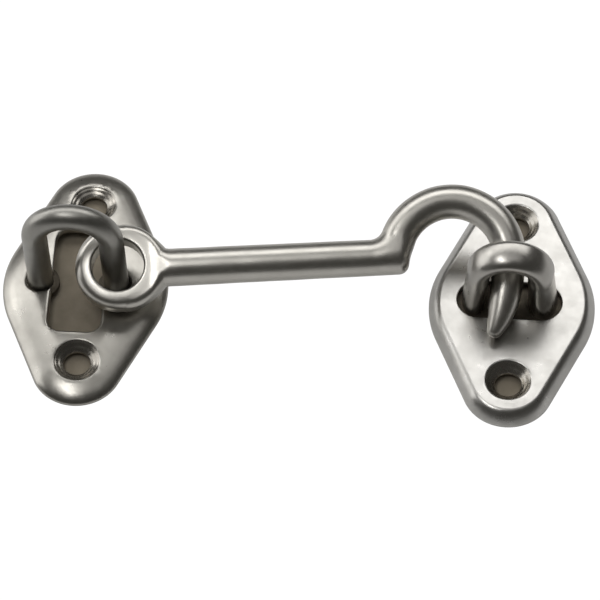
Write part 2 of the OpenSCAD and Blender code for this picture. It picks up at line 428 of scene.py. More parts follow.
@dataclass(frozen=True)
class SatinStainless:
    """Stainless steel, tumbled with ceramic stones to an even satin.

    The stones leave a fine grain without direction, which spreads highlights softly, and faint
    patches a few millimetres wide where they ran more or less.
    """

    name: str
    colour: str = "C7C4BE"
    shade: str = "B3AFA8"
    roughness: float = 0.31
    unevenness: float = 0.05
    grain_mm: float = 0.35  # real grain is near 0.05 mm, drawn as coarse as the render can show
    grain_depth_mm: float = 0.012
    grain_strength: float = 0.5
    patch_mm: float = 5.0
    streak_mm: float = 1.1

    def build(self) -> bpy.types.Material:
        """Makes the material: patchy colour and roughness, and the grain as bump.

        Returns:
            The new material.
        """
        material, tree = blank(self.name)
        place = add(tree, "ShaderNodeTexCoord").outputs["Object"]
        patches, streaks, grain = (
            add(tree, "ShaderNodeTexNoise",
                {"Vector": place, "Scale": 1 / (size * MM), "Detail": detail}).outputs["Fac"]
            for size, detail in ((self.patch_mm, 3.0), (self.streak_mm, 2.0), (self.grain_mm, 2.0)))
        colour = add(tree, "ShaderNodeMix", {
            0: patches, MIX_A: linear(self.colour), MIX_B: linear(self.shade)}, data_type="RGBA")
        both = add(tree, "ShaderNodeMath", {0: patches, 1: streaks}, operation="ADD")
        rough = add(tree, "ShaderNodeMapRange", {
            "Value": both.outputs[0], "From Min": 2 * NOISE_LOW, "From Max": 2 * NOISE_HIGH,
            "To Min": self.roughness - self.unevenness,
            "To Max": self.roughness + self.unevenness})
        shader = add(tree, "ShaderNodeBsdfPrincipled", {
            "Base Color": colour.outputs[MIX_OUT], "Metallic": 1.0, "Roughness": rough.outputs[0],
            "Normal": self.relief(tree, place, grain)})
        add(tree, "ShaderNodeOutputMaterial", {"Surface": shader.outputs[0]})
        return material

    def relief(self, tree: bpy.types.NodeTree, place: bpy.types.NodeSocket,
               grain: bpy.types.NodeSocket) -> bpy.types.NodeSocket:
        """Turns the grain into bump, and gives the normal for the shader."""
        return add(tree, "ShaderNodeBump", {
            "Height": grain, "Strength": self.grain_strength,
            "Distance": self.grain_depth_mm * MM}).outputs[0]


@dataclass(frozen=True)
class TurnedStainless(SatinStainless):
    """Stainless steel cut with a countersink.

    The cutter's edge leaves fine rings about the hole, which break its highlights into arcs.
    """

    roughness: float = 0.26
    grain_strength: float = 0.6
    centre_x: float = 0.0
    centre_y: float = 21.75
    ring_mm: float = 0.9  # real feed marks are near 0.1 mm, drawn as coarse as the render can show
    ring_depth_mm: float = 0.03

    def relief(self, tree: bpy.types.NodeTree, place: bpy.types.NodeSocket,
               grain: bpy.types.NodeSocket) -> bpy.types.NodeSocket:
        """Adds rings to the grain: the sine of the distance from the nearer screw hole's axis.

        Args:
            tree: node tree of the material.
            place: object coordinates.
            grain: grain pattern, 0 to 1.

        Returns:
            The normal for the shader.
        """
        parts = add(tree, "ShaderNodeSeparateXYZ", {0: place}).outputs
        across = add(tree, "ShaderNodeMath", {0: parts[0], 1: self.centre_x * MM},
                     operation="SUBTRACT")
        along = add(tree, "ShaderNodeMath", {0: parts[1]}, operation="ABSOLUTE")
        beyond = add(tree, "ShaderNodeMath", {0: along.outputs[0], 1: self.centre_y * MM},
                     operation="SUBTRACT")
        flat = add(tree, "ShaderNodeCombineXYZ", {0: across.outputs[0], 1: beyond.outputs[0]})
        away = add(tree, "ShaderNodeVectorMath", {0: flat.outputs[0]}, operation="LENGTH")
        turns = add(tree, "ShaderNodeMath", {
            0: away.outputs["Value"], 1: 2 * math.pi / (self.ring_mm * MM)}, operation="MULTIPLY")
        rings = add(tree, "ShaderNodeMath", {0: turns.outputs[0]}, operation="SINE")
        cut = add(tree, "ShaderNodeBump", {
            "Height": rings.outputs[0], "Strength": 1.0, "Distance": self.ring_depth_mm * MM / 2})
        return add(tree, "ShaderNodeBump", {
            "Height": grain, "Strength": self.grain_strength,
            "Distance": self.grain_depth_mm * MM, "Normal": cut.outputs[0]}).outputs[0]


@dataclass(frozen=True)
class ShadeDarkenedStainless(SatinStainless):
    """Stainless steel in a dull grey-brown, rough, for the parts behind the plates.

    Its dark colour is painted shade: the staple's foot, seen between the legs, and the loop's heads
    lie in shade under the plates.
    """

    colour: str = "5E584E"
    shade: str = "47423A"
    roughness: float = 0.6
    unevenness: float = 0.1
    grain_depth_mm: float = 0.04


@dataclass(frozen=True)
class WhitePaper:
    """Matt white background paper: overexposed to the camera, and mid grey in reflections."""

    name: str = "white_paper"
    grey: float = 0.6  # share of the light that it reflects
    glow: float = 0.22  # light that it adds to what it reflects
    overexposure: float = 1.05  # strength of the white that the camera sees

    def build(self) -> bpy.types.Material:
        """Makes the material: a lit diffuse sheet, which camera rays see as plain white.

        Returns:
            The new material.
        """
        material, tree = blank(self.name)
        seen = add(tree, "ShaderNodeLightPath").outputs["Is Camera Ray"]
        paper = add(tree, "ShaderNodeBsdfDiffuse", {"Color": (*3 * (self.grey,), 1.0)})
        glow, white = (
            add(tree, "ShaderNodeEmission", {"Color": linear(WHITE), "Strength": strength})
            for strength in (self.glow, self.overexposure))
        soft = add(tree, "ShaderNodeAddShader", {0: paper.outputs[0], 1: glow.outputs[0]})
        shown = add(tree, "ShaderNodeMixShader", {
            0: seen, 1: soft.outputs[0], 2: white.outputs[0]})
        add(tree, "ShaderNodeOutputMaterial", {"Surface": shown.outputs[0]})
        return material


@dataclass(frozen=True)
class ShadedBackdropCard:
    """Grey-brown matt card under each plate, seen through its holes: the backdrop's own grey-brown,
    darkened as painted shade of the space under the plate, with faint clouds where its fibres lie
    closer.
    """

    name: str = "backdrop_and_shade_card"
    colour: str = "9A9182"
    shade: str = "7A7264"
    cloud_mm: float = 4.0

    def build(self) -> bpy.types.Material:
        """Makes the material: two tones of diffuse card mixed by a noise pattern.

        Returns:
            The new material.
        """
        material, tree = blank(self.name)
        place = add(tree, "ShaderNodeTexCoord").outputs["Object"]
        fibre = add(tree, "ShaderNodeTexNoise", {
            "Vector": place, "Scale": 1 / (self.cloud_mm * MM), "Detail": 3.0})
        tone = add(tree, "ShaderNodeMix", {
            0: fibre.outputs["Fac"], MIX_A: linear(self.colour), MIX_B: linear(self.shade)},
            data_type="RGBA")
        matt = add(tree, "ShaderNodeBsdfDiffuse", {"Color": tone.outputs[MIX_OUT]})
        add(tree, "ShaderNodeOutputMaterial", {"Surface": matt.outputs[0]})
        return material


# ---- Plates ----


@dataclass(frozen=True)
class Outline:
    """Rounded diamond: end arcs about the screw holes, broad side arcs and lines between."""

    width: float = 38.5
    pitch: float = 43.5
    end_r: float = 10.6
    side_r: float = 23.0
    step: float = 0.5
    least: int = 8  # fewest points of an arc

    def rail(self) -> tuple[Array, Array]:
        """Outline as centre plus radius times normal.

        On an arc the angle changes evenly, and on a straight line the centre and the radius do.

        Returns:
            Points and outward normals, each n x 2, counter-clockwise.
        """
        end_y, side_x = self.pitch / 2, self.width / 2 - self.side_r
        swing = math.degrees(math.atan2(end_y, -side_x)
                             - math.acos((self.side_r - self.end_r) / math.hypot(side_x, end_y)))
        arcs = [(side_x, 0.0, self.side_r, -swing, swing),
                (0.0, end_y, self.end_r, swing, 180 - swing),
                (-side_x, 0.0, self.side_r, 180 - swing, 180 + swing),
                (0.0, -end_y, self.end_r, 180 + swing, 360 - swing)]
        rows = []
        for (x, y, r, start, end), (x2, y2, r2, *_) in zip(arcs, arcs[1:] + arcs[:1]):
            count = max(self.least, int(round(r * math.radians(end - start) / self.step)))
            rows.append(lift(np.tile([x, y, r], (count, 1)), np.linspace(start, end, count)))
            reach = math.sqrt((x2 - x) ** 2 + (y2 - y) ** 2 - (r2 - r) ** 2)
            share = np.linspace(0, 1, int(round(reach / self.step)) + 1)[1:-1, None]
            first, last = np.array([x, y, r, end]), np.array([x2, y2, r2, end])
            rows.append(first + share * (last - first))
        table = np.concatenate(rows)
        angle = np.radians(table[:, 3])
        normal = np.stack([np.cos(angle), np.sin(angle)], 1)
        return table[:, :2] + table[:, 2:3] * normal, normal


@dataclass(frozen=True)
class Opening:
    """Hole in a plate, with a ring of points for each amount by which it is grown."""

    centre: tuple[float, float]

    def ring(self, grow: float) -> Array:
        """Closed ring of points, the hole grown by that much on all sides."""
        raise NotImplementedError


@dataclass(frozen=True)
class RoundOpening(Opening):
    """Round hole."""

    radius: float = 3.1
    count: int = 96

    def ring(self, grow: float) -> Array:
        """Circle: centre plus the grown radius times cosine and sine."""
        return arc(self.centre, self.radius + grow, 0, 360 * (1 - 1 / self.count), self.count)


@dataclass(frozen=True)
class LongOpening(Opening):
    """Slot with round ends, along X."""

    length: float = 24.236
    width: float = 10.0
    end_count: int = 49
    step: float = 0.4

    def ring(self, grow: float) -> Array:
        """Half circle and straight side, then the same turned half round.

        Args:
            grow: how much larger it is on all sides, mm.

        Returns:
            Points, n x 2, mm.
        """
        r = self.width / 2
        half = self.length / 2 - r
        count = max(2, int(round(2 * half / self.step)))
        one = np.concatenate([arc((half, 0), r + grow, -90, 90, self.end_count),
                              between((half, r + grow), (-half, r + grow), count)])
        return np.concatenate([one, -one]) + np.array(self.centre)


@dataclass(frozen=True)
class KeyholeOpening(Opening):
    """Slot with rounded corners, along Y, joined at each side by the hole of a leg of the loop."""

    width: float = 12.2
    length: float = 28.0
    corner_r: float = 3.0
    leg_x: float = 8.825
    leg_r: float = 3.3
    counts: tuple[int, int, int, int] = (13, 23, 45, 16)  # corner, side, leg's hole, end

    def ring(self, grow: float) -> Array:
        """Corner, side, leg's hole, side, corner and end, then the same turned half round.

        Args:
            grow: how much larger it is on all sides, mm.

        Returns:
            Points, n x 2, mm.
        """
        w, l, r = self.width / 2 + grow, self.length / 2 + grow, self.leg_r + grow
        cx, cy = self.width / 2 - self.corner_r, self.length / 2 - self.corner_r
        corner_r = self.corner_r + grow
        corner, side, leg, end = self.counts
        meet = math.degrees(math.acos((w - self.leg_x) / r))
        rise = r * math.sin(math.radians(meet))
        one = np.concatenate([
            arc((cx, -cy), corner_r, -90, 0, corner), between((w, -cy), (w, -rise), side),
            arc((self.leg_x, 0), r, -meet, meet, leg), between((w, rise), (w, cy), side),
            arc((cx, cy), corner_r, 0, 90, corner), between((cx, l), (-cx, l), end)])
        return np.concatenate([one, -one]) + np.array(self.centre)


@dataclass
class Plate:
    """Pressed plate: sheet with a rim all round, a dished seat at each screw hole and one slot."""

    name: str
    x: float
    slot: Opening
    shoulder: list[tuple[float, float]]  # curve of the rim's outside, inset and height
    under: list[tuple[float, float]]  # curve of the rim's inside, inset and height
    face_start: float  # inset at which the face's net begins
    dome: float
    slot_round: float
    uneven: Unevenness
    satin: SatinStainless
    turned: TurnedStainless
    outline: Outline = Outline()
    height: float = 4.0
    sheet: float = 1.6
    foot: float = 0.7
    screw_r: float = 3.1
    sink_r: float = 5.4
    land: float = 0.7  # length of the screw hole's bore
    seat_wall: float = 1.4  # width of the sheet round the bore, behind the plate
    mouth_r: float = 0.8  # rounding where the face meets the countersink
    mouth_rows: int = 6
    cone_rows: int = 8
    edge: float = 0.12  # broken edge of the rim and of the bore
    edge_z: tuple[float, float] = (0.1, -0.08)  # start and end of the bore's edge, over its top
    edge_middle: float = 0.035  # inset and height half-way round the rim's edge
    foot_wall: float = 0.4  # height of the row in the middle of the straight foot
    burr: float = 0.15  # rounded edge that the punch leaves behind the sheet
    burr_middle: float = 0.04  # growth and height half-way round that edge
    curve_rows: tuple[int, int] = (60, 12)  # rows of the two curves
    slot_rows: int = 7
    net: float = 0.7
    back_net: float = 1.6

    def sunk(self, flat: Array) -> Array:
        """Depth of the face below full height: a bowl over the plate's half sizes, and waves."""
        half = np.array([self.outline.width / 2, self.outline.pitch / 2 + self.outline.end_r])
        return self.dome * ((flat / half) ** 2).sum(-1) + self.uneven.depth(flat)

    def curve(self, points: list[tuple[float, float]], rows: int) -> Array:
        """Cubic curve of the rim's section through even shares of its way, rows x 2."""
        return cubic(np.array(points, float), np.linspace(0, 1, rows))

    def profile(self) -> Array:
        """Rim's outside from its foot to the face: a straight foot and one cubic curve."""
        return np.concatenate([[(0.0, 0.0)], self.curve(self.shoulder, self.curve_rows[0])])

    def face_z(self, flat: Array) -> Array:
        """Height of the outside: the rim's curve at its distance from the outline, less the depth.

        Args:
            flat: places in the plate's own frame, n x 2, mm.

        Returns:
            Height at each place, mm.
        """
        rail, normal = self.outline.rail()
        near = np.concatenate([np.linalg.norm(part[:, None] - rail, axis=2).argmin(1)
                               for part in np.array_split(flat, PARTS)])
        inset = ((rail[near] - flat) * normal[near]).sum(1)
        z = np.interp(inset, *self.profile().T)
        return z - self.sunk(flat) * z / self.height

    def rim(self) -> Array:
        """Rim's section carried along the outline: each row is the outline moved in by its inset.

        Returns:
            Grid of points from the underside's edge, round the foot, up to the face's edge.
        """
        rail, normal = self.outline.rail()
        curve = self.profile()
        shown = curve[(curve[:, 0] < self.face_start) & (curve[:, 1] >= self.foot)]
        last = (self.face_start, float(np.interp(self.face_start, *curve.T)))
        inner = np.concatenate([self.curve(self.under, self.curve_rows[1]),
                                [(self.sheet, self.edge), (self.sheet - self.edge, 0.0)]])
        foot = [(self.edge, 0.0), (self.edge_middle, self.edge_middle), (0.0, self.edge),
                (0.0, self.foot_wall)]
        rows = np.concatenate([inner, foot, shown, [last]])
        flat = rail[None] - rows[:, :1, None] * normal[None]
        z = np.repeat(rows[:, 1:], len(rail), 1)
        z -= self.sunk(flat) * z / self.height * (np.arange(len(rows)) >= len(inner))[:, None]
        return np.concatenate([flat, z[..., None]], 2)

    def screw_rows(self, hole: RoundOpening) -> tuple[Array, Array]:
        """Countersink and seat: circles about the screw hole, with the radii of its section.

        The mouth is an arc that touches the face and the 45 degree cone.

        Args:
            hole: the screw hole.

        Returns:
            Grid from the face down to the bore, and grid from the bore round the seat to the
            underside.
        """
        sink = self.sink_r - self.screw_r
        start = sink + self.mouth_r * math.tan(math.radians(45 / 2))
        face = self.face_z(hole.ring(start))
        grows, drops = roll_off(start, self.mouth_r, 45, self.mouth_rows)
        upper = [lift(hole.ring(g), face - d) for g, d in zip(grows, drops)]
        top = self.height - sink
        first, last = (top + z for z in self.edge_z)
        for t in np.linspace(0, 1, self.cone_rows + 1)[1:]:
            ring = hole.ring(grows[-1] * (1 - t) + self.edge * t)
            upper.append(lift(ring, (face - drops[-1]) * (1 - t) + first * t))
        low, floor = top - self.land, self.height - self.sheet
        slope = sink / (self.height - self.sheet / 2 - low)
        wall, burr = self.seat_wall, self.burr
        section = [(self.edge, first), (0.0, last), (0.0, low + burr), (burr, low),
                   (wall - burr, low), (wall + burr / 5, low + burr),
                   (wall + slope * (floor - low), floor)]
        return np.array(upper), np.array([lift(hole.ring(g), z) for g, z in section])

    def build(self) -> bpy.types.Object:
        """Makes the plate: rim, countersinks, slot, face and underside.

        Returns:
            The finished object.
        """
        skin = Skin(self.x)
        rim = self.rim()
        skin.add_grid(rim)
        mouths, feet = [], []
        cut = self.mouth_rows - 2  # the cutter's finish starts one row above the cone
        for y in (-self.outline.pitch / 2, self.outline.pitch / 2):
            upper, lower = self.screw_rows(RoundOpening((0.0, y), self.screw_r))
            skin.add_grid(upper[: cut + 1])
            skin.add_grid(upper[cut:], Face.OTHER)
            skin.add_grid(lower)
            mouths.append(upper[0][:, :2])
            feet.append(lower[-1][:, :2])
        grows, drops = roll_off(self.slot_round, self.slot_round, 90, self.slot_rows)
        face, floor = self.face_z(self.slot.ring(grows[0])), self.height - self.sheet
        middle = self.burr_middle
        punched = [(0.0, self.burr), (middle, middle), (self.burr, 0.0)]  # growth and height
        wall = [lift(self.slot.ring(g), face - d) for g, d in zip(grows, drops)]
        wall += [lift(self.slot.ring(g), floor + z) for g, z in punched]
        skin.add_grid(np.array(wall))
        skin.add_net(rim[-1][:, :2], [*mouths, wall[0][:, :2]], self.net, self.face_z)
        skin.add_net(rim[0][:, :2], [*feet, wall[-1][:, :2]], self.back_net, floor)
        return skin.make(self.name + "_satin", self.name, Body.PLATES,
                         [self.satin.build(), self.turned.build()])


# ---- Loop and staple ----


@dataclass
class PivotLoop:
    """Wire bent to a U, with a flat head on each leg behind the plate."""

    satin: SatinStainless
    shade_finish: ShadeDarkenedStainless
    x: float = -1.5
    wire_r: float = 3.0
    width: float = 17.65
    top: float = 32.3
    head_r: float = 4.4
    head_z: tuple[float, float] = (0.7, 2.4)
    head_round: float = 0.35
    head_edge: float = 0.1
    joint: float = 0.05  # fillet between head and wire
    leg_start: float = 0.5
    lean: float = 0.032
    around: int = 64
    rows: tuple[int, int] = (34, 91)  # stations of a leg and of the arch
    uneven: Unevenness = Unevenness(9, 0.10, 5)

    def head(self) -> list[tuple[float, float]]:
        """Flat head with rounded edges, from its middle out, up and in to the wire.

        Returns:
            Radius and height of each station.
        """
        low, high = self.head_z
        r, edge, wire = self.head_r, self.head_edge, self.wire_r
        return [(0.0, low), (r - self.head_round, low), (r - edge, low + edge),
                (r, low + self.head_round), (r, high - edge), (r - edge, high),
                (wire + self.joint, high), (wire, high + self.joint)]

    def build(self) -> bpy.types.Object:
        """Carries a circle up one leg, round the arch and down the other.

        The circle's radius grows to the head's at each end.

        Returns:
            The finished object.
        """
        half, high, head = self.width / 2, self.head_z[1], self.head()
        arch_z = self.top - self.wire_r - half
        wire = np.linspace(high + self.leg_start, arch_z, self.rows[0])[:-1]
        radius, rise = np.array(head + [(self.wire_r, z) for z in wire]).T
        still = np.zeros(len(rise))
        out = fan(180, 0, self.rows[1])
        path = np.concatenate([np.stack([still - half, still, rise], 1),
                               out * self.width / 2 + np.array([0, 0, arch_z]),
                               np.stack([still + half, still, rise[::-1]], 1)])
        path += np.array([self.x, 0, 0])
        path[:, 0] -= self.lean * np.maximum(path[:, 2] - high, 0)
        radius = np.concatenate([radius, np.full(len(out), self.wire_r), radius[::-1]])
        grid = carry(radius[:, None, None] * circle(self.around), path, held(out, len(rise)))
        grid = self.uneven.worn(grid, path)
        skin, ends = Skin(), len(head)
        # The heads behind the plate take the second finish, whose dark colour is painted shade.
        skin.add_grid(grid[:ends], Face.OTHER)
        skin.add_grid(grid[ends - 1 : len(grid) - ends + 1])
        skin.add_grid(grid[len(grid) - ends :], Face.OTHER)
        return skin.make("pivot_loop_satin", "pivot_loop", Body.PLATES,
                         [self.satin.build(), self.shade_finish.build()])


@dataclass
class KeeperStaple:
    """Staple of rounded bar with spread legs, on a foot behind the keeper plate."""

    satin: SatinStainless
    shade_finish: ShadeDarkenedStainless
    x: float
    thick: float = 5.6  # in the arch's plane
    deep: float = 7.8  # along Y
    fullness: float = 2.2  # power of the section's oval, 2 for a plain one
    crest: float = 1.7  # how far back the section is thickest
    swell: float = 1.5  # how much thicker the right leg is at its foot
    haunch: float = 0.45  # share of the swell at the top of that leg
    flare: float = 6.0
    arch_r: float = 7.3
    arch_z: float = 14.24
    leg: float = 12.0
    around: int = 72
    rows: tuple[int, int] = (25, 97)  # stations of a leg and of the arch
    foot_z: tuple[float, float] = (0.9, 2.4)
    foot: LongOpening = LongOpening((0.0, 0.0), 27.236, 13.0)
    foot_edge: float = 0.1
    foot_net: float = 1.6
    uneven: Unevenness = Unevenness(8, 0.10, 9)

    def section(self) -> Array:
        """Rounded bar: an oval whose two half widths are raised to one power, its crest set back.

        Returns:
            Points, around x 2, counter-clockwise.
        """
        both = circle(self.around)
        oval = np.sign(both) * np.abs(both) ** (2 / self.fullness)
        half = self.deep / 2
        reach = np.where(oval[:, 1] > 0, half - self.crest, half + self.crest)
        return np.stack([oval[:, 0] * self.thick / 2, self.crest + oval[:, 1] * reach], 1)

    def bar(self) -> Array:
        """Carries the section down one spread leg, round the arch and down the other.

        From the crown to the right foot the bar thickens evenly in two stages, to the inside.

        Returns:
            Grid of points, closed to a point at each end.
        """
        rows, arch_rows = self.rows
        out = fan(180 + self.flare, -self.flare, arch_rows)
        arch = out * self.arch_r
        lean = math.radians(self.flare)
        down = np.linspace(1, 0, rows + 1)[:-1, None] * self.leg
        left = arch[0] + down * np.array([-math.sin(lean), 0, -math.cos(lean)])
        right = arch[-1] + down[::-1] * np.array([math.sin(lean), 0, -math.cos(lean)])
        path = np.concatenate([left, arch, right]) + np.array([self.x, 0, self.arch_z])
        side = held(out, rows)
        stops = [rows + arch_rows // 2, rows + arch_rows, len(path)]
        grow = np.interp(np.arange(len(path)), stops, [0.0, self.haunch * self.swell, self.swell])
        wider = 1 + np.stack([grow / self.thick, 0 * grow], 1)
        path = path - side * grow[:, None] / 2
        grid = self.uneven.worn(carry(self.section() * wider[:, None], path, side), path)
        poles = path[:, None].repeat(self.around, 1)
        return np.concatenate([poles[:1], grid, poles[-1:]])

    def build(self) -> bpy.types.Object:
        """Makes the bar and its foot, a flat slab with broken edges.

        Returns:
            The finished object.
        """
        skin = Skin()
        skin.add_grid(self.bar())
        (low, high), edge = self.foot_z, self.foot_edge
        rings = [(-edge, low), (0.0, low + edge), (0.0, high - edge), (-edge, high)]
        foot = np.array([lift(self.foot.ring(g), z) for g, z in rings]) + np.array([self.x, 0, 0])
        # The foot takes the second finish, whose dark colour is painted shade between the staple's
        # legs.
        skin.add_grid(foot, Face.OTHER)
        for row, z in ((foot[0], low), (foot[-1], high)):
            skin.add_net(row[:, :2], [], self.foot_net, z, Face.OTHER)
        return skin.make("keeper_staple_satin", "keeper_staple", Body.PLATES,
                         [self.satin.build(), self.shade_finish.build()])


# ---- Hook ----

NEAREST_ROUNDS = 3  # steps towards the nearest place on a curve
EVENING_ROUNDS = 4  # times that a drawn skin is evened out
DRAWING_ROUNDS = 2  # steps from a place near the surface to the surface
SLOPE_STEP = 1e-3  # half distance over which a slope is measured, mm
LEAST_SLOPE = 0.05  # square of the flattest slope that is divided by


def melt(a: Array, b: Array, width: Array | float) -> Array:
    """Union with a fillet of that width: the smaller distance, and less where both are alike."""
    share = np.clip(0.5 + 0.5 * (b - a) / width, 0, 1)
    return b + (a - b) * share - width * share * (1 - share)


def length(*parts: Array) -> Array:
    """Length of vectors given by their parts."""
    return np.sqrt(sum(part**2 for part in parts))


def rounded(u: Array, v: Array, radius: Array | float) -> Array:
    """Rounded edge of two faces: length of the parts outside both, else the larger, less radius."""
    return length(np.maximum(u, 0), np.maximum(v, 0)) + np.minimum(np.maximum(u, v), 0) - radius


def bent_bar(p: Array, centre: tuple[float, float], bend_r: float,
             start: tuple[float, float], end: tuple[float, float]) -> Array:
    """Signed distance to a round bar bent to an arc: to its nearest middle, less the radius there.

    Args:
        p: places, ... x 3, mm.
        centre: middle of the bend.
        bend_r: radius of the bend.
        start: first angle of the bend in degrees, and the bar's radius there.
        end: last angle and the radius there; between the two it changes evenly with the angle.

    Returns:
        Signed distances, mm.
    """
    x, y = p[..., 0] - centre[0], p[..., 1] - centre[1]
    middle, half = math.radians(start[0] + end[0]) / 2, math.radians(end[0] - start[0]) / 2
    angle = np.arctan2(y, x) - middle
    angle = np.clip((angle + math.pi) % (2 * math.pi) - math.pi, -half, half)
    radius = start[1] + (end[1] - start[1]) * (angle + half) / (2 * half)
    angle = angle + middle
    return length(x - bend_r * np.cos(angle), y - bend_r * np.sin(angle), p[..., 2]) - radius


def tapered_bar(p: Array, route: Array) -> Array:
    """Signed distance to a bar that thins along a cubic curve; past an end the bar is a ball.

    The nearest place on the curve is found in steps. Each is the distance to go along the curve's
    way, set back by the slope of the radius times the distance, as on a cone.

    Args:
        p: places, ... x 3, mm; the curve runs mostly along -Y.
        route: start, two handles and end of the middle line, each x, y, z and radius.

    Returns:
        Signed distances, mm.
    """
    t = np.clip((route[0, 1] - p[..., 1]) / (route[0, 1] - route[3, 1]), 0, 1)
    for _ in range(NEAREST_ROUNDS):
        away, rate = p - cubic(route, t)[..., :3], cubic_rate(route, t)
        speed = np.sqrt((rate[..., :3] ** 2).sum(-1))
        set_back = rate[..., 3] * np.linalg.norm(away, axis=-1) / speed
        t = np.clip(t + ((away * rate[..., :3]).sum(-1) / speed + set_back) / speed, 0, 1)
    here = cubic(route, t)
    return np.linalg.norm(p - here[..., :3], axis=-1) - here[..., 3]


def surface_of(distance: Field, low: Array, high: Array, step: float) -> tuple[Array, Array]:
    """Skin where a signed distance is zero.

    A box of even cells is laid over the solid. A cell that the surface crosses gets one point, the
    mean of the crossings on its edges, and each crossed edge joins the four cells round it. The
    points are then evened out and drawn to the surface along the distance's slope.

    Args:
        distance: signed distance at places n x 3, mm.
        low: lowest corner of the box.
        high: highest corner.
        step: size of a cell, mm.

    Returns:
        Points, n x 3, and triangles, m x 3.
    """
    axes = [np.arange(a, b + step, step) for a, b in zip(low, high)]
    value = np.concatenate([
        distance(np.stack(np.meshgrid(part, axes[1], axes[2], indexing="ij"), -1))
        for part in np.array_split(axes[0], PARTS)])
    solid = value < 0
    shape = tuple(n - 1 for n in value.shape)
    total, hits = np.zeros((*shape, 3)), np.zeros(shape)
    crossings = []
    for axis in range(3):
        one, two = (a for a in range(3) if a != axis)
        head, tail = [slice(None)] * 3, [slice(None)] * 3
        head[axis], tail[axis] = slice(0, -1), slice(1, None)
        first, second = value[tuple(head)], value[tuple(tail)]
        crossed = solid[tuple(head)] != solid[tuple(tail)]
        crossings.append(crossed)
        gap = first - second
        share = np.where(crossed, first / np.where(gap == 0, 1, gap), 0)
        for da, db in ((0, 0), (0, 1), (1, 0), (1, 1)):
            part = [slice(None)] * 3
            part[one], part[two] = slice(da, da + shape[one]), slice(db, db + shape[two])
            here = crossed[tuple(part)]
            hits += here
            total[..., axis] += share[tuple(part)]
            total[..., one] += da * here
            total[..., two] += db * here
    found = hits > 0
    number = np.full(shape, -1)
    number[found] = np.arange(found.sum())
    cells = np.stack(np.nonzero(found), 1)
    points = np.array(low) + (cells + total[found] / hits[found][:, None]) * step
    quads = []
    for axis, crossed in enumerate(crossings):
        edges = np.stack(np.nonzero(crossed), 1)
        one, two = np.eye(3, dtype=int)[[(axis + 1) % 3, (axis + 2) % 3]]
        ring = [number[tuple((edges - s).T)] for s in (one * 0, one, one + two, two)]
        quads.append(np.stack(ring, 1))
    quads = np.concatenate(quads)
    for _ in range(EVENING_ROUNDS):
        points = drawn(distance, evened(points, quads))
    return drawn(distance, points), np.concatenate([quads[:, [0, 1, 2]], quads[:, [0, 2, 3]]])


def evened(points: Array, quads: Array) -> Array:
    """Each point moved half-way to the mean of the points that its quads join it to.

    Args:
        points: places, n x 3.
        quads: point numbers, m x 4.

    Returns:
        Moved places, n x 3.
    """
    a, b = quads.ravel(), np.roll(quads, -1, 1).ravel()
    here, there = np.concatenate([a, b]), np.concatenate([b, a])
    count = np.bincount(here, minlength=len(points))[:, None]
    total = np.stack([np.bincount(here, points[there, k], minlength=len(points))
                      for k in range(3)], 1)
    return points + 0.5 * (total / count - points)


def drawn(distance: Field, points: Array) -> Array:
    """Places drawn to the surface: back along the slope by the distance over the slope's length.

    Args:
        distance: signed distance at places n x 3, mm.
        points: places near the surface, n x 3.

    Returns:
        Places on the surface.
    """
    for _ in range(DRAWING_ROUNDS):
        here = distance(points)
        slope = np.stack([
            (distance(points + SLOPE_STEP * e) - distance(points - SLOPE_STEP * e))
            / (2 * SLOPE_STEP) for e in np.eye(3)], 1)
        square = np.maximum((slope**2).sum(1), LEAST_SLOPE)
        points = points - here[:, None] * slope / square[:, None]
    return points


